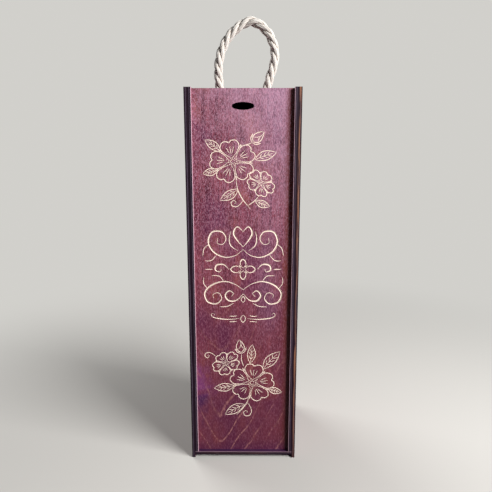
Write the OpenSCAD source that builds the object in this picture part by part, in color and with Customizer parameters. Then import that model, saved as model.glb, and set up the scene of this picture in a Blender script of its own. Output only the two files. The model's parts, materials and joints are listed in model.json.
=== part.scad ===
/* [Box] */
// Width across the two outer side panels
box_w = 101.4; // [96:0.2:120]
// Depth from the front edges of the side panels to the back panel's face
box_d = 101.4; // [96:0.2:120]
// Height of the side panels, from the floor to their top edges
box_h = 350; // [330:1:380]
// Thickness of the birch plywood, with its stain
ply_t = 3.2; // [3:0.1:4]
// How far the side panels run past the bottom panel, as feet, and past the top panel
margin = 3.2; // [3:0.1:6]

/* [Sliding lid] */
// Depth of the strips in front of the lid
rail_d = 3.4; // [3:0.1:5]
// Gap in front of the lid and behind it, in its groove
groove_gap = 0.2; // [0.1:0.05:0.4]
// Gap between each side of the lid and the side panel
lid_side_gap = 0.4; // [0.2:0.1:1]
// How far the lid's top edge sits under the top edges of the side panels
lid_top_drop = 0.4; // [0:0.1:2]
// Length of the finger hole
hole_l = 19; // [16:0.5:30]
// Height of the finger hole in its middle
hole_h = 6.4; // [6:0.2:12]
// Distance from the lid's top edge to the middle of the finger hole
hole_down = 14.7; // [12:0.1:30]

/* [Joinery] */
// Number of finger lengths along each rear corner, an odd number
fingers = 13; // [7:2:17]
// Length of each through tenon on the top and bottom panels
tenon_l = 18; // [12:1:24]
// Distance from the middle of a panel's edge to the middle of each tenon
tenon_off = 24; // [20:1:26]

/* [Rope handle] */
// Diameter of the three-strand rope
rope_d = 7.5; // [6:0.5:8]
// Diameter of the two rope holes in the top panel
rope_hole_d = 8; // [8:0.1:9]
// Distance from the box's centre line to each rope hole
rope_hole_off = 22; // [20:0.5:26]
// Width of the stopper knot on each rope end
knot_w = 21; // [16:0.5:22]
// Height of the stopper knot
knot_h = 22; // [16:0.5:24]
// Length of the rope tail under each knot
tail_l = 8; // [5:1:16]

/* [Hidden] */
$fn = 64;

// Planes of the box. X runs to the right, Y from the front to the back, Z up from the floor.
front_y = -box_d / 2;
back_y = box_d / 2;
back_in_y = back_y - ply_t;
side_in_x = box_w / 2 - ply_t;
rail_in_x = side_in_x - ply_t;
rail_back_y = front_y + rail_d;
lid_front_y = rail_back_y + groove_gap;
lid_back_y = lid_front_y + ply_t;
groove_back_y = lid_back_y + groove_gap;
floor_z = margin + ply_t;
top_face_z = box_h - margin;
ceiling_z = top_face_z - ply_t;
lid_top_z = box_h - lid_top_drop;
finger_l = box_h / fingers;

// The rope turns about a level line just above the top panel, where it comes out of its holes.
swing_lift = rope_d / 2 + 0.25;
swing_z = top_face_z + swing_lift;

// Middle of the rope above the swing line: across and up, from the left hole over to the right one.
// The arch leans to the right, as a stiff rope does when its lay turns it.
rope_bends = [[-22.6, 5], [-23.6, 13], [-24.2, 21], [-24, 29], [-22.4, 38], [-19, 47], [-13.6, 55.5],
    [-7, 62], [0, 66.6], [7, 68.6], [13.6, 66.6], [19.4, 62.4], [24.4, 56.6], [28, 49.2], [29.8, 41],
    [29.4, 33], [27.6, 25.6], [25, 17.6], [23.2, 10.6], [22.3, 5]];
rope_points = concat([[-rope_hole_off, 0]], rope_bends, [[rope_hole_off, 0]]);
rope_steps = 2;
rope_sides = 12;

// Radius of the flat top with which a knot bears on the panel, round the rope's hole.
knot_flat = 6;

stain = [0.43, 0.19, 0.26];
burnt = [0.17, 0.11, 0.13];
rope_cream = [0.88, 0.84, 0.76];

// A block between two corners.
module block(low, high) {
    translate(low) cube(high - low);
}

// Four through tenons on a level panel: two out of its left edge and two out of its right.
module side_tenons(low_z) {
    for (end = [-1, 1], y = [-tenon_off, tenon_off])
        translate([end * (side_in_x + ply_t / 2), y, low_z + ply_t / 2])
            cube([ply_t, tenon_l, ply_t], center = true);
}

// Two through tenons out of a level panel's rear edge.
module back_tenons(low_z) {
    for (x = [-tenon_off, tenon_off])
        translate([x, back_in_y + ply_t / 2, low_z + ply_t / 2]) cube([tenon_l, ply_t, ply_t], center = true);
}

// Outer side panel: its front and lower edges are the box's own, and its rear edge is fingered.
module side_panel(side) {
    inner = side * side_in_x;
    outer = side * box_w / 2;
    difference() {
        block([min(inner, outer), front_y, 0], [max(inner, outer), back_y, box_h]);
        for (i = [1 : 2 : fingers - 2])
            block([min(inner, outer) - 1, back_in_y, i * finger_l],
                [max(inner, outer) + 1, back_y + 1, (i + 1) * finger_l]);
        side_tenons(margin);
        side_tenons(ceiling_z);
    }
}

module left_side_panel() {
    color(stain) side_panel(-1);
}

module right_side_panel() {
    color(stain) side_panel(1);
}

// Inner panel, glued to the side panel, whose front edge is the rear wall of the lid's groove.
module side_liner(side) {
    near = side * rail_in_x;
    far = side * side_in_x;
    block([min(near, far), groove_back_y, floor_z], [max(near, far), back_in_y, ceiling_z]);
}

module left_side_liner() {
    color(stain) side_liner(-1);
}

module right_side_liner() {
    color(stain) side_liner(1);
}

// Strip in front of the lid, glued to the side panel and standing on the bottom panel.
module front_rail(side) {
    near = side * rail_in_x;
    far = side * side_in_x;
    block([min(near, far), front_y, floor_z], [max(near, far), rail_back_y, box_h]);
}

module left_front_rail() {
    color(burnt) front_rail(-1);
}

module right_front_rail() {
    color(burnt) front_rail(1);
}

// Back panel, with fingers between those of the side panels and mortises for the rear tenons.
module back_panel() {
    color(stain) difference() {
        union() {
            block([-side_in_x, back_in_y, 0], [side_in_x, back_y, box_h]);
            for (side = [-1, 1], i = [1 : 2 : fingers - 2])
                translate([side * (side_in_x + ply_t / 2), back_in_y + ply_t / 2, (i + 0.5) * finger_l])
                    cube([ply_t, ply_t, finger_l], center = true);
        }
        back_tenons(margin);
        back_tenons(ceiling_z);
    }
}

// Bottom panel, which runs out to the front and carries the bottle, the rails, the liners and the lid.
module bottom_panel() {
    color(stain) union() {
        block([-side_in_x, front_y, margin], [side_in_x, back_in_y, floor_z]);
        side_tenons(margin);
        back_tenons(margin);
    }
}

// Top panel, behind the lid, with the two rope holes.
module top_panel() {
    color(stain) difference() {
        union() {
            block([-side_in_x, groove_back_y, ceiling_z], [side_in_x, back_in_y, top_face_z]);
            side_tenons(ceiling_z);
            back_tenons(ceiling_z);
        }
        for (side = [-1, 1])
            translate([side * rope_hole_off, 0, ceiling_z - 1]) cylinder(d = rope_hole_d, h = ply_t + 2);
    }
}

// Outline of the finger hole: an oval of two long arcs, with a small arc round each end.
module finger_oval() {
    end_r = hole_h * 0.3;
    end_x = hole_l / 2 - end_r;
    arc_r = (end_x * end_x + hole_h * hole_h / 4 - end_r * end_r) / (hole_h - 2 * end_r);
    meet_x = end_x * arc_r / (arc_r - end_r);
    intersection() {
        translate([0, arc_r - hole_h / 2]) circle(arc_r, $fn = 180);
        translate([0, hole_h / 2 - arc_r]) circle(arc_r, $fn = 180);
        square([2 * meet_x, hole_h], center = true);
    }
    for (end = [-1, 1]) translate([end * end_x, 0]) circle(end_r);
}

// Lid, which slides up and out of its groove.
module sliding_lid() {
    half_w = side_in_x - lid_side_gap;
    color(stain) difference() {
        block([-half_w, lid_front_y, floor_z], [half_w, lid_back_y, lid_top_z]);
        translate([0, lid_back_y + 1, lid_top_z - hole_down]) rotate([90, 0, 0])
            linear_extrude(ply_t + 2) finger_oval();
    }
}

// A point of a smooth curve through the four points around it, at share t between the middle two.
function between(a, b, c, d, t) =
    0.5 * (2 * b + (c - a) * t + (2 * a - 5 * b + 4 * c - d) * t * t + (3 * b - a - 3 * c + d) * t * t * t);

last_point = len(rope_points) - 1;
rope_line = [for (i = [0 : last_point - 1], k = [0 : rope_steps - 1])
        between(rope_points[max(i - 1, 0)], rope_points[i], rope_points[i + 1],
            rope_points[min(i + 2, last_point)], k / rope_steps),
    rope_points[last_point]];
last_ring = len(rope_line) - 1;

// Direction of the rope at ring i, from its neighbours. Both ends leave their holes straight up.
function run_at(i) =
    i == 0 ? [0, 1] :
    i == last_ring ? [0, -1] :
    let (d = rope_line[i + 1] - rope_line[i - 1]) d / norm(d);

// Each ring's middle, direction and radius. Narrowing rings round off both feet below the swing line.
rope_r = rope_d / 2;
rope_rings = concat(
    [for (a = [75 : -25 : 25]) [[-rope_hole_off, -rope_r * sin(a)], [0, 1], rope_r * cos(a)]],
    [for (i = [0 : last_ring]) [rope_line[i], run_at(i), rope_r]],
    [for (a = [25 : 25 : 75]) [[rope_hole_off, -rope_r * sin(a)], [0, -1], rope_r * cos(a)]]);

// The carrying loop: one tube from foot to foot, in the plane through both holes.
module rope_loop() {
    ring_points = [for (ring = rope_rings, k = [0 : rope_sides - 1])
        let (
            across = ring[2] * cos(k * 360 / rope_sides),
            deep = ring[2] * sin(k * 360 / rope_sides)
        )
        [ring[0][0] + ring[1][1] * across, deep, ring[0][1] - ring[1][0] * across]];
    last_start = len(ring_points) - rope_sides;
    side_faces = [for (a = [0 : rope_sides : last_start - 1], k = [0 : rope_sides - 1])
        let (n = (k + 1) % rope_sides, b = a + rope_sides)
        each [[a + k, b + k, b + n], [a + k, b + n, a + n]]];
    first_cap = [for (k = [1 : rope_sides - 2]) [0, k, k + 1]];
    last_cap = [for (k = [1 : rope_sides - 2]) [last_start, last_start + k + 1, last_start + k]];
    color(rope_cream) translate([0, 0, swing_z])
        polyhedron(ring_points, concat(side_faces, first_cap, last_cap));
}

// Half of a stopper knot's outline: a drum with a rounded rim above and below.
module knot_outline() {
    rim_r = knot_w / 2 - knot_flat;
    square([knot_flat, knot_h]);
    translate([0, rim_r]) square([knot_w / 2, knot_h - 2 * rim_r]);
    for (z = [rim_r, knot_h - rim_r]) translate([knot_flat, z]) circle(rim_r);
}

// The rope inside its hole, and under the top panel its stopper knot and tail.
module rope_end(side) {
    translate([side * rope_hole_off, 0, 0]) {
        translate([0, 0, ceiling_z]) cylinder(d = rope_d, h = ply_t);
        translate([0, 0, ceiling_z - knot_h]) rotate_extrude() knot_outline();
        translate([0, 0, ceiling_z - knot_h - tail_l]) cylinder(d = rope_d, h = tail_l);
    }
}

module left_rope_end() {
    color(rope_cream) rope_end(-1);
}

module right_rope_end() {
    color(rope_cream) rope_end(1);
}

left_side_panel();
right_side_panel();
left_side_liner();
right_side_liner();
left_front_rail();
right_front_rail();
back_panel();
bottom_panel();
top_panel();
sliding_lid();
rope_loop();
left_rope_end();
right_rope_end();
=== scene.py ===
import json
import math
import random

import bmesh
import bpy
import numpy as np
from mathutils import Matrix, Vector
from mathutils.geometry import delaunay_2d_cdt
from mathutils.kdtree import KDTree

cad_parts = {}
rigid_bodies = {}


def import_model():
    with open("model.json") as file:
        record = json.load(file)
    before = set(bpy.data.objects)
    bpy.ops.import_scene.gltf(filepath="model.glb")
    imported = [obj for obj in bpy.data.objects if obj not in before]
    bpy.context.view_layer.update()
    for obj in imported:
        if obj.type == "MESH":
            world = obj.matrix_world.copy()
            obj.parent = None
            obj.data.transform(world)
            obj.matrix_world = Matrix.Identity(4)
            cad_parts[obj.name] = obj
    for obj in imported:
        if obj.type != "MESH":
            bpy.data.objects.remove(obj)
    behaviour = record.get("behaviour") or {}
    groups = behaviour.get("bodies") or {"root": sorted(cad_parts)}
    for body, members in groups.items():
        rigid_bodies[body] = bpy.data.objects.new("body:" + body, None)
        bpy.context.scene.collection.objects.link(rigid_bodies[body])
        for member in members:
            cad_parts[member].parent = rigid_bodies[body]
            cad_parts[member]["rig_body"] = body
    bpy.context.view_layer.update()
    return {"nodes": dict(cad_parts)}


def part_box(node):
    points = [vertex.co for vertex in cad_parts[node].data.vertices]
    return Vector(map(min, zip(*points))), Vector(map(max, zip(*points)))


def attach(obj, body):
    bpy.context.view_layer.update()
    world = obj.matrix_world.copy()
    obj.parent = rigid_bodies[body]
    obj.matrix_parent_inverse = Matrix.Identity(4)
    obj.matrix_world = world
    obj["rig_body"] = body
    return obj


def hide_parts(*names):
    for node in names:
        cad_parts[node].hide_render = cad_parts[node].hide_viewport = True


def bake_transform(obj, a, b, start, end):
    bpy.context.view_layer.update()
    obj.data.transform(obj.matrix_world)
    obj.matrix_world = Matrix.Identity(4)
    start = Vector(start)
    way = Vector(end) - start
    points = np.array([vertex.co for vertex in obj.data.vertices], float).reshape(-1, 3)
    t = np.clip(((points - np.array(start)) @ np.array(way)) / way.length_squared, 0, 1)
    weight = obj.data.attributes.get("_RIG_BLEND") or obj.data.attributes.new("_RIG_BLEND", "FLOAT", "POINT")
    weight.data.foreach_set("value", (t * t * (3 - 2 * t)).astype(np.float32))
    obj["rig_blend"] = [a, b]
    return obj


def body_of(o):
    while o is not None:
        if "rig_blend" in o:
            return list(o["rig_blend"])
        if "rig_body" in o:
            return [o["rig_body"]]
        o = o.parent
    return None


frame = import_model()

# Camera
# It stands a forearm's length in front of the box, a little under its top edge, and looks down at it.
CAMERA_PLACE = (0.0048, -0.4075, 0.2730)
CAMERA_DOWN = math.radians(9.56)
CAMERA_LEFT = math.radians(0.35)
FOCAL_PIXELS = 400
FRAME_PIXELS = 492
SENSOR_WIDTH = 36

camera = bpy.data.objects.new("camera", bpy.data.cameras.new("camera"))
camera.data.sensor_width = SENSOR_WIDTH
camera.data.lens = FOCAL_PIXELS / FRAME_PIXELS * SENSOR_WIDTH
camera.data.clip_start = 0.01
camera.location = CAMERA_PLACE
camera.rotation_euler = (math.radians(90) - CAMERA_DOWN, 0, CAMERA_LEFT)
bpy.context.scene.collection.objects.link(camera)
bpy.context.scene.camera = camera

# Rope handle
# Off-white cotton rope of three strands, each of six yarns, laid up to the left. It runs from a knot inside
# the box up through one hole, over in an arch that leans to the right, and down through the other hole to a
# second knot. The hole grips it, and above the hole it opens out a little.
MM = 0.001
ROPE_D = 7.5 * MM
STRANDS = 3
STRAND_R = 2.05 * MM
STRAND_OFF = 1.8 * MM
FREE_SWELL = 0.13
SWELL_FROM_Z = 351 * MM
SWELL_OVER = 6 * MM
STRAND_SIDES = 28
YARNS = 6
YARN_DEPTH = 0.13
YARN_MEAN = 0.7
YARN_TURN = 20 * MM
# Where painted shade starts round a strand, and how much the gap attribute paints between the strands and
# between the yarns.
GAP_FROM = 1.2
STRAND_GAP = 0.75
YARN_GAP = 0.40
LAY_TURNS = 5.5
ROPE_STEP = 0.6 * MM
CURVE_PARTS = 16

# Loose fibres: how many on each length of rope, their size, with lengths in millimetres, and how they stand
# off. The last rings at a rope's ends have none.
LOOP_FIBRES = 420
END_FIBRES = 160
LOOP_SEED = 3
END_SEED = 11
FIBRE_SIDES = [0, 1, 2, 3, 4, 5, -1, -2, -3, -4, -5]
FIBRE_RINGS = 5
FIBRE_CORNERS = 3
FIBRE_RADII = (0.045 * MM, 0.015 * MM)
FIBRE_LENGTHS = (1.2, 3.0)
FIBRE_LIFTS = (0.3, 1.2)
FIBRE_LEAN = 1.6
FIBRE_SWAY = 1.2
FIBRE_DROOP = 0.45
FIBRE_REACH = 1.8 * MM
BARE_RINGS = 3

HOLE_X = 22
HOLE_MID_Z = 345.2
SWING_Z = 350.8
ROPE_BENDS = [(-22.6, 5), (-23.6, 13), (-24.2, 21), (-24, 29), (-22.4, 38), (-19, 47), (-13.6, 55.5),
    (-7, 62), (0, 66.6), (7, 68.6), (13.6, 66.6), (19.4, 62.4), (24.4, 56.6), (28, 49.2), (29.8, 41),
    (29.4, 33), (27.6, 25.6), (25, 17.6), (23.2, 10.6), (22.3, 5)]
loop_points = [(-HOLE_X, 0, HOLE_MID_Z), (-HOLE_X, 0, SWING_Z)]
loop_points += [(x, 0, SWING_Z + z) for x, z in ROPE_BENDS]
loop_points += [(HOLE_X, 0, SWING_Z), (HOLE_X, 0, HOLE_MID_Z)]

# The overhand knot, from its middle to where the rope leaves it upwards. Its other half is the same, turned
# over.
KNOT_HALF = [(0, 6.2, 0), (-3.8, 5.8, -3.0), (-6.3, 3.4, -5.5), (-6.6, -0.6, -7.4), (-4.3, -4.4, -7.7),
    (-0.4, -6.2, -6.2), (2.7, -5.4, -3.4), (3.8, -3.2, -0.9), (2.6, -0.6, 1.7), (0.7, 0.3, 4.1), (0, 0.3, 8)]
KNOT_MID_Z = 332
TAIL_END_Z = 313.6


def smooth_line(points, step):
    """Points a step apart, in metres, on a smooth curve through given points in millimetres."""
    fine = []
    for i in range(len(points) - 1):
        a, b, c, d = (Vector(points[min(max(i + k, 0), len(points) - 1)]) for k in (-1, 0, 1, 2))
        for t in (k / CURVE_PARTS for k in range(CURVE_PARTS)):
            bend = (2 * a - 5 * b + 4 * c - d) * t ** 2 + (3 * b - a - 3 * c + d) * t ** 3
            fine.append(0.5 * (2 * b + (c - a) * t + bend) * MM)
    fine = np.array(fine + [Vector(points[-1]) * MM])
    reach = np.concatenate([[0], np.cumsum(np.linalg.norm(np.diff(fine, axis=0), axis=1))])
    stops = np.linspace(0, reach[-1], max(2, round(reach[-1] / step)) + 1)
    return np.stack([np.interp(stops, reach, fine[:, k]) for k in range(3)], axis=1)


def along(line):
    """The unit direction of a line at each of its points."""
    run = np.gradient(line, axis=0)
    return run / np.linalg.norm(run, axis=1)[:, None]


def tube(line, outward, radius, sides):
    """Rings of points round a line. The first point of each ring lies on the outward side."""
    run = along(line)
    out = outward - run * np.sum(outward * run, axis=1)[:, None]
    out /= np.linalg.norm(out, axis=1)[:, None]
    beside = np.cross(run, out)
    turn = np.arange(sides) * math.tau / sides
    ring = out[:, None] * np.cos(turn)[None, :, None] + beside[:, None] * np.sin(turn)[None, :, None]
    return line[:, None] + ring * radius[..., None]


def tube_faces(first, rings, sides):
    """Faces of a closed tube whose points start at a given number."""
    faces = []
    for i in range(rings - 1):
        low = first + i * sides
        for k in range(sides):
            n = (k + 1) % sides
            faces.append((low + k, low + n, low + sides + n, low + sides + k))
    last = first + (rings - 1) * sides
    faces.append(tuple(range(first + sides - 1, first - 1, -1)))
    faces.append(tuple(range(last, last + sides)))
    return faces


def lay_rope(name, line, lay, fibres, seed):
    """A length of rope along a line, with loose fibres. Its gap attribute, which places painted shade, grows
    deep between the strands.
    """
    run = along(line)
    side = np.zeros_like(line)
    side[0] = (1, 0, 0)
    for i in range(1, len(line)):
        side[i] = side[i - 1] - run[i] * np.dot(side[i - 1], run[i])
        side[i] /= np.linalg.norm(side[i])
    other = np.cross(run, side)
    reach = np.concatenate([[0], np.cumsum(np.linalg.norm(np.diff(line, axis=0), axis=1))])
    around = np.arange(STRAND_SIDES) * math.tau / STRAND_SIDES
    facing = np.abs((around + math.pi) % math.tau - math.pi)
    full = 1 + FREE_SWELL * np.clip((line[:, 2] - SWELL_FROM_Z) / SWELL_OVER, 0, 1)
    points, faces, gaps, strands = [], [], [], []
    for strand in range(STRANDS):
        turn = -reach / lay * math.tau + strand * math.tau / STRANDS
        outward = side * np.cos(turn)[:, None] + other * np.sin(turn)[:, None]
        middle = line + outward * (STRAND_OFF * full)[:, None]
        yarn = np.cos(YARNS * (around[None] - reach[:, None] / YARN_TURN * math.tau))
        radius = STRAND_R * full[:, None] * (1 + YARN_DEPTH * (np.sqrt((1 + yarn) / 2) - YARN_MEAN))
        rings = tube(middle, outward, radius, STRAND_SIDES)
        faces += tube_faces(sum(len(p) for p in points), len(line), STRAND_SIDES)
        points.append(rings.reshape(-1, 3))
        deep = np.clip(facing - GAP_FROM, 0, 1)
        gaps.append((STRAND_GAP * deep[None] + YARN_GAP * ((1 - yarn) / 2) ** 2).reshape(-1))
        strands.append(rings)
    rng = random.Random(seed)
    for _ in range(fibres):
        rings = strands[rng.randrange(STRANDS)]
        i = rng.randrange(BARE_RINGS, len(line) - BARE_RINGS)
        k = rng.choice(FIBRE_SIDES)
        root = rings[i, k]
        out = root - line[i]
        out /= np.linalg.norm(out)
        lean = run[i] * rng.uniform(-FIBRE_LEAN, FIBRE_LEAN)
        lean = lean + np.cross(run[i], out) * rng.uniform(-FIBRE_SWAY, FIBRE_SWAY)
        lift = rng.uniform(*FIBRE_LIFTS)
        length = rng.uniform(*FIBRE_LENGTHS) * MM
        stops = np.linspace(0, 1, FIBRE_RINGS)[:, None]
        hair = root + (lean * stops + out * lift * (stops - FIBRE_DROOP * stops ** 2)) * length / 2
        hair -= out * max(np.linalg.norm(hair - line[i], axis=1).max() - ROPE_D / 2 - FIBRE_REACH, 0)
        thick = np.linspace(*FIBRE_RADII, FIBRE_RINGS)[:, None] * np.ones((1, FIBRE_CORNERS))
        outward = np.tile(out, (FIBRE_RINGS, 1)) + 0.01
        faces += tube_faces(sum(len(p) for p in points), FIBRE_RINGS, FIBRE_CORNERS)
        points.append(tube(hair, outward, thick, FIBRE_CORNERS).reshape(-1, 3))
        gaps.append(np.zeros(FIBRE_RINGS * FIBRE_CORNERS))
    mesh = bpy.data.meshes.new(name)
    mesh.from_pydata(np.concatenate(points).tolist(), [], faces)
    mesh.attributes.new("gap", "FLOAT", "POINT").data.foreach_set("value", np.concatenate(gaps))
    mesh.shade_smooth()
    rope = bpy.data.objects.new(name, mesh)
    bpy.context.scene.collection.objects.link(rope)
    return rope


class Field:
    """One output of a material's nodes, with the arithmetic that adds more nodes to it."""

    def __init__(self, tree, socket=None):
        self.tree = tree
        self.socket = socket

    def add(self, kind, settings, inputs, output=0):
        node = self.tree.nodes.new(kind)
        for name, value in settings.items():
            setattr(node, name, value)
        for name, value in inputs.items():
            if isinstance(value, Field):
                self.tree.links.new(value.socket, node.inputs[name])
            else:
                node.inputs[name].default_value = value
        return Field(self.tree, node.outputs[output])

    def math(self, operation, *values):
        return self.add("ShaderNodeMath", {"operation": operation}, dict(enumerate(values)))

    def __add__(self, other):
        return self.math("ADD", self, other)

    __radd__ = __add__

    def __sub__(self, other):
        return self.math("SUBTRACT", self, other)

    def __rsub__(self, other):
        return self.math("SUBTRACT", other, self)

    def __mul__(self, other):
        return self.math("MULTIPLY", self, other)

    __rmul__ = __mul__

    def __abs__(self):
        return self.math("ABSOLUTE", self)

    def ramp(self, low, high):
        """A soft step, 0 at low and 1 at high."""
        return self.add("ShaderNodeMapRange", {"interpolation_type": "SMOOTHSTEP"},
            {"Value": self, "From Min": low, "From Max": high})

    def tint(self, low, high):
        """A colour that goes from low, where this is 0, to high, where it is 1."""
        return self.add("ShaderNodeMix", {"data_type": "RGBA"}, {0: self, 6: low, 7: high}, 2)

    def noise(self, detail=2.0, rough=0.5, distortion=0.0):
        """Cloudy noise of this vector's own scale, about 0.5."""
        return self.add("ShaderNodeTexNoise", {},
            {"Vector": self, "Scale": 1.0, "Detail": detail, "Roughness": rough, "Distortion": distortion})


def rgb(red, green, blue):
    return (red, green, blue, 1)


def new_finish(name):
    """An empty material: itself, a field to start patterns from, and its surface shader."""
    material = bpy.data.materials.new(name)
    material.use_nodes = True
    tree = material.node_tree
    shader = tree.nodes["Principled BSDF"]
    return material, Field(tree), shader


def wire(shader, name, field):
    field.tree.links.new(field.socket, shader.inputs[name])


def emboss(shader, strength, depth, height):
    """Bump, with its depth in millimetres."""
    wire(shader, "Normal", height.add("ShaderNodeBump", {},
        {"Strength": strength, "Distance": depth * MM, "Height": height}))


def place_in(start, across="X", along_grain="Z"):
    """The place on the object in millimetres, as three fields: across the grain, along it and through."""
    spot = start.add("ShaderNodeTexCoord", {}, {}, "Object")
    through = ({"X", "Y", "Z"} - {across, along_grain}).pop()
    return [spot.add("ShaderNodeSeparateXYZ", {}, {0: spot}, axis) * 1000
        for axis in (across, along_grain, through)]


def vector(x, y, z):
    return x.add("ShaderNodeCombineXYZ", {}, {0: x, 1: y, 2: z})


DULL_COTTON = rgb(0.54, 0.48, 0.42)
CLEAN_COTTON = rgb(0.80, 0.775, 0.735)
SHADED_COTTON = rgb(0.16, 0.095, 0.055)


def cotton():
    """Undyed cotton: fluffy and a little soiled, darkened to brown in the gaps between the strands by painted
    shade with a little dirt.
    """
    material, start, shader = new_finish("cotton_rope")
    across, up, through = place_in(start)
    gap = start.add("ShaderNodeAttribute", {"attribute_name": "gap"}, {}, "Fac")
    soil = vector(across * 0.35, up * 0.35, through * 0.35).noise(3, 0.6)
    fluff = vector(across * 3, up * 3, through * 3).noise(3, 0.7)
    clean = (fluff * 0.6 + soil * 0.4).ramp(0.3, 0.7).tint(DULL_COTTON, CLEAN_COTTON)
    # Painted shade, with a little dirt: the rope goes dark brown in the gaps between strands and yarns.
    shade = (gap * 1.15 + (fluff - 0.5) * 0.9).ramp(0.15, 0.80)
    wire(shader, "Base Color", shade.tint(clean, SHADED_COTTON))
    emboss(shader, 0.5, 0.3, fluff)
    shader.inputs["Roughness"].default_value = 0.9
    shader.inputs["Specular IOR Level"].default_value = 0.2
    shader.inputs["Sheen Weight"].default_value = 0.25
    shader.inputs["Sheen Roughness"].default_value = 0.6
    return material


cotton_rope = cotton()
loop_line = smooth_line(loop_points, ROPE_STEP)
loop_length = float(np.sum(np.linalg.norm(np.diff(loop_line, axis=0), axis=1)))
lay_length = loop_length / LAY_TURNS

rope_loop = lay_rope("rope_loop_laid", loop_line, lay_length, LOOP_FIBRES, LOOP_SEED)
rope_loop.data.materials.append(cotton_rope)
for name, x in (("left_rope_end", -HOLE_X), ("right_rope_end", HOLE_X)):
    knot = [(-a, b, -c) for a, b, c in KNOT_HALF[:0:-1]] + KNOT_HALF
    knot_points = [(x, 0, TAIL_END_Z)] + [(x + a, b, KNOT_MID_Z + c) for a, b, c in knot]
    knot_points.append((x, 0, HOLE_MID_Z))
    knot_line = smooth_line(knot_points[::-1], ROPE_STEP)
    rope_end = lay_rope(name + "_laid", knot_line, lay_length, END_FIBRES, END_SEED + x)
    rope_end.data.materials.append(cotton_rope)
    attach(rope_end, "box")
    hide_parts(name)

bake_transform(rope_loop, "box", "handle", start=(0, 0, 0.3466), end=(0, 0, 0.3600))
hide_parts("rope_loop")

# Plywood boards
# Birch plywood of three plies, cut by a laser, stained burgundy and glued, with its edges left burnt. The
# stain lies in a violet pool low on the left. Light and shade are painted on the faces too: a pale lilac
# sheen, glints and sparkle towards the top, shade towards the bottom, at the foot and on the level boards,
# and a warm shadow near the right edge. Each board keeps its cut shape, with its arrises rubbed down a
# little, and some edges carry a painted highlight along the arris.
ARRIS = 0.22 * MM
ARRIS_TURN = math.radians(40)
WELD = 0.002 * MM
FLAT_WITHIN = math.radians(1)
FACE_ALIGNED = 0.95

DEEP_STAIN = rgb(0.082, 0.009, 0.024)
FULL_STAIN = rgb(0.350, 0.082, 0.118)
CLOUDY_STAIN = rgb(0.105, 0.015, 0.062)
BLUE_POOL = rgb(0.036, 0.013, 0.095)
VIOLET_POOL = rgb(0.250, 0.058, 0.220)
RUST_IN_SHADE = rgb(0.300, 0.055, 0.045)
RUST_IN_GLARE = rgb(0.430, 0.120, 0.070)
RAIL_SHADOW_RED = rgb(0.270, 0.055, 0.040)
SHADE_BELOW = rgb(0.085, 0.011, 0.032)
FOOT_SHADE_VIOLET = rgb(0.070, 0.011, 0.052)
PAINTED_SHEEN = rgb(0.560, 0.350, 0.490)
GLINTS = rgb(0.500, 0.210, 0.290)
PAINTED_SPARKLE = rgb(0.640, 0.400, 0.520)
RING_LINES = rgb(0.470, 0.200, 0.185)
PORES = rgb(0.050, 0.008, 0.022)
LEVEL_SHADE_VIOLET = rgb(0.034, 0.012, 0.050)

# Where the stain's pool lies, and where the growth rings have their peak, across the board and up it.
POOL_AT = (-42, 69)
PEAK_AT = -22
PEAK_ROUND = 22
PEAK_STEEP = 2.1
RINGS_FROM = -11
RINGS_PER_MM = 0.034


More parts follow.
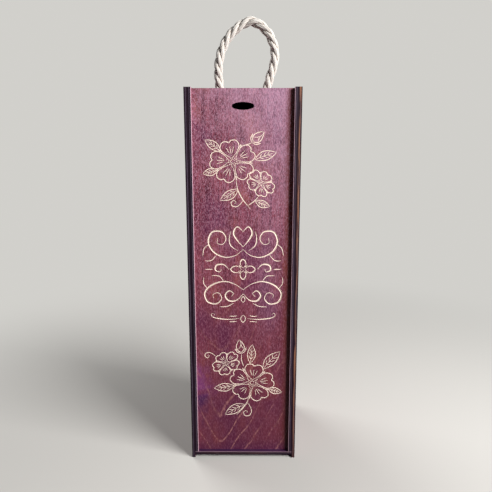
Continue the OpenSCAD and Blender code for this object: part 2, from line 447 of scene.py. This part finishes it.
def stained_birch(name, across, along_grain, pool_and_light, violet, sheet):
    """Face veneer under a burgundy stain: flecks, pores, cloudy patches and the pale lines of the figure,
    with painted light and shade.

    The number after along_grain sets the violet pool and the painted sheen, rail shadow and foot shade; the
    next sets how strongly painted violet shade lies near the floor; and sheet tells one board's grain from
    another's.
    """
    material, start, shader = new_finish(name)
    a, g, t = place_in(start, across, along_grain)
    height = t if along_grain == "X" else g
    t = t + sheet

    # The grain, from its flecks to its broad clouds.
    fleck = vector(a * 1.15, g * 0.31, t * 0.6).noise(3, 0.7)
    fibre = vector(a * 2.6, g * 0.07, t * 0.6).noise(3, 0.65)
    streak = vector(a * 0.75, g * 0.014, t * 0.3).noise(3, 0.65)
    sparkle = vector(a * 2.3 + 9, g * 0.75, t * 0.6).noise(1, 0.5)
    pore = vector(a * 1.9, g * 0.33, t * 1.0).noise(1, 0.5)
    blotch = vector(a * 0.11, g * 0.06, t * 0.1).noise(4, 0.6)
    cloud = vector(a * 0.030 + 7, g * 0.017, t * 0.05).noise(2, 0.5)
    warm = vector(a * 0.045 + 31, g * 0.020, t * 0.05).noise(3, 0.55)
    glint = vector(a * 1.25 + 5, g * 0.36, t * 0.6).noise(2, 0.7)

    # The growth rings: arches that show near the foot, and in patches above it.
    bend = vector(a * 0.032, g * 0.014, t * 0.05).noise(1, 0.5)
    peak = start.math("SQRT", (a - PEAK_AT) * (a - PEAK_AT) + PEAK_ROUND)
    rings = start.math("FRACT", (g - RINGS_FROM - peak * PEAK_STEEP) * RINGS_PER_MM + bend * 1.6)
    line = 1 - abs(rings - 0.5).ramp(0.015, 0.085)
    patch = vector(a * 0.07, g * 0.03, t * 0.05 + 11).noise(2, 0.5).ramp(0.40, 0.62)
    foot = (abs(a + 12) * 0.035 + abs(g - 30) * 0.020).ramp(1.0, 0.5)
    shown = start.math("MAXIMUM", patch * (height.ramp(150, 70) * 0.40 + 0.20), foot * 0.9)

    # The stain: its body, its pools and patches, and the painted light and shade on it.
    body = (fleck * 0.64 + fibre * 0.20 + streak * 0.75 + blotch * 0.35 - 0.47).ramp(0.32, 0.76)
    # Painted glare: flecks, rust, glints and pores grow stronger towards the top.
    glare_rise = height.ramp(20, 300) * 0.7 + 0.3
    wood = ((body - 0.45) * glare_rise + 0.45).tint(DEEP_STAIN, FULL_STAIN)
    wood = (cloud.ramp(0.46, 0.72) * 0.70).tint(wood, CLOUDY_STAIN)
    pool = abs(a - POOL_AT[0]) * 0.048 + abs(g - POOL_AT[1]) * 0.023 + (blotch - 0.5) * 1.4
    pool = pool.ramp(1.0, 0.3) * pool_and_light * (1 - abs(g - a * 0.2 - 76).ramp(4, 1) * 0.6)
    wood = (pool * 0.8).tint(wood, g.ramp(60, 72).tint(BLUE_POOL, VIOLET_POOL))
    # The warm patches are real stain; painted light makes them brighter towards the top.
    rust = glare_rise.tint(RUST_IN_SHADE, RUST_IN_GLARE)
    wood = (warm.ramp(0.50, 0.74) * (0.20 + fleck * 0.8)).tint(wood, rust)
    # Painted shadow: warm red-brown near the right edge, where the right rail's shadow falls on the lid.
    wood = (a.ramp(35, 41) * pool_and_light * 0.7).tint(wood, RAIL_SHADOW_RED)
    # Painted shade: darker towards the bottom, and more so on the left.
    low = height.ramp(230, 0) * (a.ramp(-56, 0) * 0.5 + 0.5)
    wood = (low * (0.80 - fleck * 0.5)).tint(wood, SHADE_BELOW)
    # Painted shade: violet at the foot, where the lid meets the bottom panel.
    wood = (g.ramp(20, 6) * pool_and_light * 0.6).tint(wood, FOOT_SHADE_VIOLET)
    # Painted sheen: a pale lilac reflection towards the top right, kept out of the right rail's shadow, with
    # a faint band right of the middle.
    painted_sheen = (g + a * 1.1 + (blotch - 0.5) * 160).ramp(238, 420) * a.ramp(43, 35)
    painted_sheen = painted_sheen + abs(a - 23).ramp(15, 2) * abs(g - 190).ramp(80, 30) * 0.18
    wood = (painted_sheen * (glint.ramp(0.36, 0.66) * 0.6 + 0.35) * pool_and_light).tint(wood, PAINTED_SHEEN)
    wood = (glint.ramp(0.48, 0.64) * glare_rise * 0.65).tint(wood, GLINTS)
    # Painted sparkle: fine pale lilac dots towards the top.
    wood = (sparkle.ramp(0.54, 0.70) * height.ramp(120, 300) * 0.55).tint(wood, PAINTED_SPARKLE)
    wood = (line * shown * (fleck.ramp(0.40, 0.58) * 0.90 + 0.04)).tint(wood, RING_LINES)
    wood = (pore.ramp(0.60, 0.72) * glare_rise * 0.38).tint(wood, PORES)
    # Painted shade: the level boards' faces near the floor go dark violet.
    wood = (height.ramp(60, 20) * violet).tint(wood, LEVEL_SHADE_VIOLET)

    wire(shader, "Base Color", wood)
    wire(shader, "Roughness", 0.24 + fleck * 0.20 + pore.ramp(0.55, 0.75) * 0.15)
    relief = fleck * 0.45 + fibre * 0.25 + pore.ramp(0.75, 0.55) * 0.3
    emboss(shader, 0.7, 0.20, relief)
    shader.inputs["Specular IOR Level"].default_value = 0.35
    return material


DARK_CHAR = rgb(0.005, 0.001, 0.005)
LIGHT_CHAR = rgb(0.030, 0.011, 0.024)
DARK_ASH = rgb(0.012, 0.007, 0.013)
LIGHT_ASH = rgb(0.078, 0.052, 0.080)
PALE_ASH = rgb(0.150, 0.108, 0.152)
GLUE_LINE = rgb(0.004, 0.002, 0.003)
BROWN_PATCH_COLOUR = rgb(0.300, 0.130, 0.072)
ARRIS_HIGHLIGHT = rgb(0.640, 0.420, 0.500)


def burnt_edge(name, along_edge, arris_shine, brown_share, ashen):
    """Laser-cut edge: charred face plies, an ashen core between glue lines, and brown in streaky patches.

    The depth attribute runs through the plies. A painted highlight lies along the arris where depth is 0.
    """
    material, start, shader = new_finish(name)
    side, length, deep = place_in(start, {"X": "Y", "Z": "X"}[along_edge], along_edge)
    depth = start.add("ShaderNodeAttribute", {"attribute_name": "depth"}, {}, "Fac")
    streak = vector(side * 1.3, length * 0.035, deep * 1.3).noise(3, 0.65)
    wave = vector(side * 0.05, length * 0.012, deep * 0.05).noise(2, 0.5)
    kerf = vector(side * 0.2, length * 2.4, deep * 0.2).noise(1, 0.5)
    core = abs(depth + (streak - 0.5) * 0.10 - 0.5).ramp(0.23, 0.08)
    glue = abs(abs(depth - 0.5) - 0.21).ramp(0.045, 0.01)
    char = streak.tint(DARK_CHAR, LIGHT_CHAR)
    ash = (streak * 0.75 + kerf * 0.25).ramp(0.40, 0.66).tint(DARK_ASH, LIGHT_ASH)
    pale = abs(depth + (streak - 0.5) * 0.45 - 0.5).ramp(0.13, 0.03)
    edge = (pale * 0.55 * ashen).tint((core * ashen).tint(char, ash), PALE_ASH)
    edge = (glue * 0.8).tint(edge, GLUE_LINE)
    # Brown in streaky patches, mostly in the middle plies.
    brown_patch = (wave * 0.6 + brown_share * 0.15).ramp(0.42, 0.62) * (streak.ramp(0.38, 0.60) * 0.5 * brown_share)
    edge = (brown_patch * abs(depth - 0.46).ramp(0.36, 0.08)).tint(edge, BROWN_PATCH_COLOUR)
    # Painted highlight: a pale lilac line along the front arris.
    at_arris = depth.ramp(0.17, 0.09) * ((0.45 + streak * 0.9) * arris_shine)
    wire(shader, "Base Color", at_arris.tint(edge, ARRIS_HIGHLIGHT))
    wire(shader, "Roughness", 0.45 + streak * 0.25)
    emboss(shader, 0.5, 0.15, streak * 0.6 + kerf * 0.2 + core * 0.2)
    shader.inputs["Specular IOR Level"].default_value = 0.14
    return material


def board(node, across, along_grain, through):
    """A plywood board: a copy of its cut shape with rubbed arrises, stained faces and burnt edges."""
    piece = frame["nodes"][node].copy()
    piece.data = piece.data.copy()
    piece.name = node + "_board"
    piece.parent = None
    for key in list(piece.keys()):
        del piece[key]
    bpy.context.scene.collection.objects.link(piece)
    bpy.ops.object.select_all(action="DESELECT")
    piece.select_set(True)
    bpy.context.view_layer.objects.active = piece
    bpy.ops.object.mode_set(mode="EDIT")
    bpy.ops.mesh.select_all(action="SELECT")
    bpy.ops.mesh.remove_doubles(threshold=WELD)
    bpy.ops.mesh.dissolve_limited(angle_limit=FLAT_WITHIN)
    bpy.ops.object.mode_set(mode="OBJECT")
    at_arris = piece.modifiers.new("rubbed_arris", "BEVEL")
    at_arris.width = ARRIS
    at_arris.segments = 2
    at_arris.limit_method = "ANGLE"
    at_arris.angle_limit = ARRIS_TURN
    bpy.ops.object.modifier_apply(modifier=at_arris.name)
    axis = "XYZ".index(through)
    low, high = (corner[axis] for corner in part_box(node))
    inner, outer = sorted((low, high), key=abs) if through == "X" else (high, low)
    depth = (np.array([v.co[axis] for v in piece.data.vertices]) - inner) / (outer - inner)
    piece.data.attributes.new("depth", "FLOAT", "POINT").data.foreach_set("value", depth)
    piece.data.materials.clear()
    piece.data.materials.append(FACE_FINISH[(across, along_grain)])
    piece.data.materials.append(EDGE_FINISH.get(node, EDGE_FINISH[along_grain]))
    for face in piece.data.polygons:
        face.material_index = 0 if abs(face.normal[axis]) > FACE_ALIGNED else 1
        face.use_smooth = False
    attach(piece, body_of(frame["nodes"][node])[0])
    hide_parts(node)
    return piece


FACE_FINISH = {
    ("X", "Z"): stained_birch("stained_birch_front", "X", "Z", pool_and_light=1, violet=0, sheet=0),
    ("Y", "Z"): stained_birch("stained_birch_side", "Y", "Z", pool_and_light=0.6, violet=0, sheet=137),
    ("Y", "X"): stained_birch("stained_birch_level", "Y", "X", pool_and_light=0, violet=0.9, sheet=61),
}
EDGE_FINISH = {
    "Z": burnt_edge("burnt_upright_edge", "Z", arris_shine=0, brown_share=0.6, ashen=1),
    "X": burnt_edge("burnt_level_edge", "X", arris_shine=0.45, brown_share=0.7, ashen=0.3),
    "left_front_rail": burnt_edge("burnt_left_rail_edge", "Z", arris_shine=1.7, brown_share=0.3, ashen=1),
    "right_front_rail": burnt_edge("burnt_right_rail_edge", "Z", arris_shine=1.0, brown_share=0.3, ashen=0.8),
    "right_side_panel": burnt_edge("burnt_right_panel_edge", "Z", arris_shine=0, brown_share=2.2, ashen=1),
}

for side in ("left", "right"):
    board(side + "_side_panel", "Y", "Z", "X")
    board(side + "_side_liner", "Y", "Z", "X")
    board(side + "_front_rail", "Y", "Z", "X")
board("back_panel", "X", "Z", "Y")
board("bottom_panel", "Y", "X", "Z")
board("top_panel", "Y", "X", "Z")

# Sliding lid
# One board that slides in the grooves behind the two rails, with an oval finger hole. A laser has burnt a
# drawing in lines through its stain into the pale birch: two sprays of dog roses, with rows of scrollwork
# between them.
VEIN = 0.55
OUTLINE = 0.8
STEM = 1.1
SWASH = 1.6
LINE_STEP = 0.6 * MM
LINE_DEPTH = 0.6
LINE_TIP = 0.22
BROAD_TAPER = 1.5
FINE_TAPER = 0.6
BED_STEP = 0.2
BARED_FROM = 0.015 * MM
FINGER_HOLE_HEIGHT = 6.4 * MM
MERGE_MM = 1e-4

# The lines' widths above are in millimetres. A petal and a sepal lie on a rose one unit in radius, and a bud
# and a tendril are one unit long. A drop of the scrollwork is in millimetres.
PETAL = [(0, .16), (-.26, .40), (-.42, .70), (-.33, .95), (-.13, 1), (0, .92), (.13, 1), (.33, .95),
    (.42, .70), (.26, .40), (0, .16)]
SEPAL = [(-.055, .60), (-.02, .74), (0, .90), (.02, .74), (.055, .60)]
BUD = [
    ([(0, .08), (-.20, .24), (-.27, .50), (-.14, .82), (.02, 1)], OUTLINE),
    ([(0, .08), (.20, .24), (.27, .50), (.16, .80), (.02, 1)], OUTLINE),
    ([(-.20, .30), (-.02, .48), (.08, .72), (.02, 1)], VEIN),
    ([(.20, .32), (.10, .50), (.08, .72)], VEIN),
    ([(0, 0), (-.24, .12), (-.40, .40)], OUTLINE),
    ([(0, .08), (-.14, .20), (-.40, .40)], VEIN),
    ([(0, 0), (.24, .12), (.40, .38)], OUTLINE),
    ([(0, .08), (.14, .20), (.40, .38)], VEIN),
]
TENDRIL = [
    ([(0, 0), (.16, .34), (.46, .60), (.80, .58), (.93, .32), (.74, .12), (.55, .26), (.68, .38)], OUTLINE),
]
DROP = [([(0, 1.2), (-2.3, 4), (-2.1, 7), (0, 9), (2.1, 7), (2.3, 4), (0, 1.2)], STEM)]


def set_down(strokes, place, turn=0, size=1, flip=1):
    """Strokes turned clockwise by some degrees, sized, and moved to a place on the lid."""
    c, s = math.cos(math.radians(turn)) * size, math.sin(math.radians(turn)) * size
    return [([(flip * x * c + z * s + place[0], z * c - flip * x * s + place[1]) for x, z in points], width)
        for points, width in strokes]


def both_sides(strokes):
    return strokes + [([(-x, z) for x, z in points], width) for points, width in strokes]


def leaf(bend, half_width):
    """A pointed leaf with its midrib and side veins, one unit long."""
    strokes = [([(0, 0), (0, .45), (0, .86)], VEIN)]
    half = [([(0, 0), (half_width * .55, .17), (half_width, .44), (half_width * .78, .72), (0, 1)], OUTLINE)]
    for z in (.24, .42, .60):
        half.append(([(0, z), (half_width * .35, z + .07), (half_width * .62, z + .17)], VEIN))
    strokes += both_sides(half)
    return [([(x + bend * z * z, z) for x, z in points], width) for points, width in strokes]


def dog_rose(stamens, tilt):
    """A rose of five open petals, one unit from its middle to a petal's edge."""
    eye = [(.09 * math.cos(a), .09 * math.sin(a)) for a in np.linspace(0, 6, 9)]
    strokes = [(eye, VEIN)]
    folds = [([(0, .36), (0, .74)], VEIN)] + both_sides([([(.06, .40), (.17, .70)], VEIN)])
    for k in range(5):
        strokes += set_down([(PETAL, OUTLINE)] + folds, (0, 0), 72 * k)
        strokes += set_down([(SEPAL, VEIN)], (0, 0), 72 * k + 36)
    for k in range(stamens):
        tip = .21 + .03 * (k % 2)
        stamen = [([(0, .13), (0, tip)], VEIN), ([(-.012, tip + .045), (.012, tip + .045)], OUTLINE)]
        strokes += set_down(stamen, (0, 0), 360 * k / stamens + 9)
    return [([(x, z * tilt) for x, z in points], width) for points, width in strokes]


# The two sprays and the scrollwork, in millimetres from a middle of their own.
top_spray = [([(-5, -6.5), (-4, -15), (0, -24), (7.5, -34)], STEM)]
top_spray += [([(15.5, -22), (11, -27), (5, -31)], OUTLINE)]
top_spray += [([(-1.5, 21), (3, 22), (9, 24)], OUTLINE)]
top_spray += set_down(dog_rose(11, .9), (-8, 8), -12, 20)
top_spray += set_down(dog_rose(9, .8), (17, -11), 40, 13)
top_spray += set_down(BUD, (9, 24), 48, 14)
top_spray += set_down(leaf(.10, .20), (11.5, 9.5), 66, 20)
top_spray += set_down(leaf(-.10, .20), (-18.5, 16.5), -48, 17)
top_spray += set_down(leaf(.12, .22), (-21, 1), -112, 14)
top_spray += set_down(leaf(.10, .20), (-3.2, -16), -128, 19)
top_spray += set_down(leaf(-.10, .22), (12, -26.5), 118, 14)
top_spray += set_down(TENDRIL, (1, -26), -172, 11)

bottom_spray = [([(5.5, -20), (3, -27), (-1, -33), (-7, -40)], STEM)]
bottom_spray += [([(0, 11), (-2, 17), (-2, 24)], OUTLINE)]
bottom_spray += set_down(dog_rose(11, .9), (8, -6), 8, 21)
bottom_spray += set_down(dog_rose(9, .8), (-17, 14), -35, 13.5)
bottom_spray += set_down(BUD, (-2, 24), -10, 14)
bottom_spray += set_down(leaf(.10, .20), (18.5, 8), 36, 24)
bottom_spray += set_down(leaf(-.10, .20), (6, 14), 12, 19)
bottom_spray += set_down(leaf(-.10, .22), (23.5, -12), 112, 14)
bottom_spray += set_down(leaf(.10, .20), (-9, -9), -104, 20)
bottom_spray += set_down(leaf(-.12, .20), (1, -29), -112, 22)
bottom_spray += set_down(TENDRIL, (3.2, -27), 118, 14)
bottom_spray += set_down(TENDRIL, (-27, 21), -20, 10, -1)

scrolls = both_sides([
    ([(0, 25), (-7, 19.5), (-17, 18), (-27, 23), (-31.5, 32), (-28, 41), (-19.5, 41.5), (-15.5, 35.5),
        (-18.5, 30), (-23.5, 31), (-23, 35.5)], SWASH),
    ([(0, 27.5), (-5.5, 34), (-8.5, 40.5), (-5, 46), (0, 41.5)], SWASH),
    ([(-5, 24), (-11, 28.5), (-12.5, 35), (-11, 42)], STEM),
    ([(-31, 30), (-35.5, 26), (-37, 19)], OUTLINE),
    ([(-24, 20.5), (-29, 15), (-35, 14.5)], OUTLINE),
    ([(-13, 6.5), (-18, 11), (-24, 10.5), (-25.5, 6), (-21.5, 4.2), (-20, 7)], SWASH),
    ([(-28, 6.5), (-35, 6.5)], OUTLINE),
    ([(0, -13), (-8, -7.5), (-18, -5), (-29, -8.5), (-35.5, -16), (-33, -24.5), (-25, -26.5), (-20, -21.5),
        (-23, -16), (-28, -17.5), (-27.5, -21)], SWASH),
    ([(0, -17), (-6, -23), (-13, -23.5), (-16.5, -18.5), (-13, -14), (-9, -16.5), (-11, -19.5)], SWASH),
    ([(-18, -5), (-22, 0), (-29, .5)], OUTLINE),
    ([(-33, -12), (-36.5, -7), (-36.5, -1)], OUTLINE),
    ([(-9, -26), (-15, -29), (-22, -29.5)], OUTLINE),
    ([(-4, -41), (-14, -41.8), (-26, -40.4), (-30, -38), (-28.6, -35.6), (-26.6, -37.4)], STEM),
    ([(-6, -38.2), (-9, -38.8), (-13, -38.6)], OUTLINE),
    ([(-6, -43.8), (-9, -44), (-13, -44.2)], OUTLINE),
])
scrolls += [([(0, -25.5), (-1.8, -22.5), (0, -19.5), (1.8, -22.5), (0, -25.5)], OUTLINE)]
scrolls += [([(0, -37.4), (-2.4, -41), (0, -44.6), (2.4, -41), (0, -37.4)], OUTLINE)]
for k, size in enumerate((1.05, 1.25, 1.05, 1.25)):
    scrolls += set_down(DROP, (0, 6.5), 90 * k, size)
    scrolls += set_down([([(0, 2.4), (0, 5.6)], OUTLINE)], (0, 6.5), 90 * k + 45)

drawing = set_down(top_spray, (-1, 280)) + set_down(scrolls, (0, 184)) + set_down(bottom_spray, (0.5, 84))

lid = board("sliding_lid", "X", "Z", "Y")
lid_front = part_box("sliding_lid")[0][1]

# The lid's front is cut along its rim, and along the two edges and the bottom of each line. The finger hole
# stays open.
shell = bmesh.new()
shell.from_mesh(lid.data)
front = [f for f in shell.faces if f.normal.y < -0.99 and f.calc_center_median().y < lid_front + 0.01 * MM]
rim = [e for e in shell.edges if sum(f in front for f in e.link_faces) == 1]
rim_points = list(dict.fromkeys(v for e in rim for v in e.verts))
number = {v: i for i, v in enumerate(rim_points)}
spots = [(v.co.x, v.co.z) for v in rim_points]
cuts = [(number[e.verts[0]], number[e.verts[1]]) for e in rim]
groove = []
for points, width in drawing:
    middle = smooth_line([(x, 0, z) for x, z in points], LINE_STEP)
    run = along(middle)
    beside = np.stack([-run[:, 2], run[:, 0]], axis=1)
    taper = BROAD_TAPER if width > OUTLINE else FINE_TAPER
    swell = np.sin(np.linspace(0, math.pi, len(middle))) ** taper
    half = width / 2 * MM * (LINE_TIP + (1 - LINE_TIP) * swell)
    low = middle[:, [0, 2]]
    for line in (low - beside * half[:, None], low, low + beside * half[:, None]):
        cuts += [(len(spots) + i, len(spots) + i + 1) for i in range(len(line) - 1)]
        spots += [tuple(p) for p in line]
    ends = len(spots) - np.array([3, 2, 1]) * len(low)
    for k in (0, len(low) - 1):
        cuts += [(int(ends[0] + k), int(ends[1] + k)), (int(ends[1] + k), int(ends[2] + k))]
    for share in np.arange(0, len(low) - 1, BED_STEP):
        i, part = int(share), share % 1
        groove.append((*(low[i] * (1 - part) + low[i + 1] * part), half[i] * (1 - part) + half[i + 1] * part))

bed = KDTree(len(groove))
for i, (x, z, half) in enumerate(groove):
    bed.insert((x, z, 0), i)
bed.balance()


def depth_at(x, z):
    """How deep the laser has burnt at a place on the lid."""
    near = bed.find_range((x, z, 0), SWASH / 2 * MM)
    return max((groove[i][2] - away ** 2 / groove[i][2] for _, i, away in near), default=0) * LINE_DEPTH


scale = 1 / MM
flat = delaunay_2d_cdt([Vector(p) * scale for p in spots], cuts, [], 0, MERGE_MM)
made = []
for place, came_from in zip(flat[0], flat[3]):
    kept = [i for i in came_from if i < len(rim_points)]
    x, z = place.x * MM, place.y * MM
    made.append(rim_points[kept[0]] if kept else shell.verts.new((x, lid_front + max(depth_at(x, z), 0), z)))
bmesh.ops.delete(shell, geom=front, context="FACES_ONLY")
bmesh.ops.delete(shell, geom=[e for e in shell.edges if not e.link_faces and e not in rim], context="EDGES")
rim_set = set(rim_points)
for corners in flat[2]:
    verts = [made[i] for i in corners]
    tall = max(v.co.z for v in verts) - min(v.co.z for v in verts)
    if rim_set.issuperset(verts) and tall < FINGER_HOLE_HEIGHT + MM:
        continue
    face = shell.faces.new(verts)
    middle = face.calc_center_median()
    face.material_index = 2 if depth_at(middle.x, middle.z) > BARED_FROM else 0
    face.normal_update()
    if face.normal.y > 0:
        face.normal_flip()
shell.to_mesh(lid.data)
shell.free()


DULL_BIRCH = rgb(0.820, 0.620, 0.500)
CLEAN_BIRCH = rgb(0.980, 0.860, 0.750)
SCORCHED_BIRCH = rgb(0.620, 0.390, 0.260)


def bare_birch():
    """Birch bared by the laser: pale, with a little scorching in patches along the lines."""
    material, start, shader = new_finish("bared_birch")
    a, g, t = place_in(start)
    fibre = vector(a * 2.2, g * 0.2, t * 2).noise(3, 0.6)
    scorch = vector(a * 0.6, g * 0.4, t * 0.6).noise(3, 0.6)
    wood = fibre.tint(DULL_BIRCH, CLEAN_BIRCH)
    wire(shader, "Base Color", (scorch.ramp(0.55, 0.78) * 0.4).tint(wood, SCORCHED_BIRCH))
    emboss(shader, 0.4, 0.1, fibre)
    shader.inputs["Roughness"].default_value = 0.75
    shader.inputs["Specular IOR Level"].default_value = 0.3
    return material


lid.data.materials.append(bare_birch())

# Floor and light
# A wide pale floor that fades into a pale backdrop, a window in front to the right, and a weaker one behind
# to the left. The floor looks pale but throws little light back, so the shadow beside the right rail stays
# deep. None of it is part of the object.
FLOOR_RADIUS = 6
FLOOR_SIDES = 96
FADE_FROM = 0.15
FADE_TO = 0.75
DARK_FLOOR = rgb(0.07, 0.065, 0.06)
SEEN_FLOOR = rgb(0.56, 0.545, 0.515)
BACKDROP = rgb(0.64, 0.63, 0.60)
GLOSSY_SHARE = 0.2
SKY_COLOUR = rgb(0.92, 0.95, 1.0)
SKY_STRENGTH = 0.03
BOX_MIDDLE = (0, 0, 0.2)

bpy.ops.object.select_all(action="DESELECT")
bpy.ops.mesh.primitive_circle_add(vertices=FLOOR_SIDES, radius=FLOOR_RADIUS, fill_type="NGON",
    location=(0, 0, 0))
pale_floor = bpy.context.object
pale_floor.name = "pale_floor"
matt, start, shader = new_finish("matt_floor")
shader.inputs["Roughness"].default_value = 0.9
shader.inputs["Specular IOR Level"].default_value = 0.1
spot = start.add("ShaderNodeTexCoord", {}, {}, "Object")
away = start.add("ShaderNodeVectorMath", {"operation": "LENGTH"}, {0: spot}, "Value")
ray = start.add("ShaderNodeLightPath", {}, {}, "Is Camera Ray")
glossy = start.add("ShaderNodeLightPath", {}, {}, "Is Glossy Ray")
seen = start.math("MAXIMUM", ray, glossy * GLOSSY_SHARE)
wire(shader, "Base Color", seen.tint(DARK_FLOOR, SEEN_FLOOR))
paper = start.add("ShaderNodeEmission", {}, {"Color": BACKDROP, "Strength": 1.0})
floor_shade = Field(start.tree, shader.outputs["BSDF"])
fade = away.ramp(FADE_FROM, FADE_TO) * ray
both = start.add("ShaderNodeMixShader", {}, {0: fade, 1: floor_shade, 2: paper})
start.tree.links.new(both.socket, start.tree.nodes["Material Output"].inputs["Surface"])
pale_floor.data.materials.append(matt)


def lamp(name, place, size, watts):
    """A rectangular window of light that faces the middle of the box."""
    data = bpy.data.lights.new(name, "AREA")
    data.shape = "RECTANGLE"
    data.size, data.size_y = size
    data.energy = watts
    made = bpy.data.objects.new(name, data)
    made.location = place
    made.rotation_euler = (Vector(BOX_MIDDLE) - Vector(place)).to_track_quat("-Z", "Y").to_euler()
    bpy.context.scene.collection.objects.link(made)


lamp("window", place=(0.84, -0.565, 0.62), size=(0.66, 0.45), watts=24)
lamp("back_window", place=(-0.80, 0.75, 0.85), size=(0.8, 0.8), watts=12)

world = bpy.data.worlds.new("studio")
world.use_nodes = True
sky = Field(world.node_tree)
ray = sky.add("ShaderNodeLightPath", {}, {}, "Is Camera Ray")
glossy = sky.add("ShaderNodeLightPath", {}, {}, "Is Glossy Ray")
seen = sky.math("MAXIMUM", ray, glossy * GLOSSY_SHARE)
light = sky.add("ShaderNodeBackground", {}, {"Color": SKY_COLOUR, "Strength": SKY_STRENGTH})
backdrop = sky.add("ShaderNodeBackground", {}, {"Color": BACKDROP, "Strength": 1.0})
both = sky.add("ShaderNodeMixShader", {}, {0: seen, 1: light, 2: backdrop})
sky.tree.links.new(both.socket, world.node_tree.nodes["World Output"].inputs["Surface"])
bpy.context.scene.world = world
bpy.context.scene.view_settings.view_transform = "Standard"
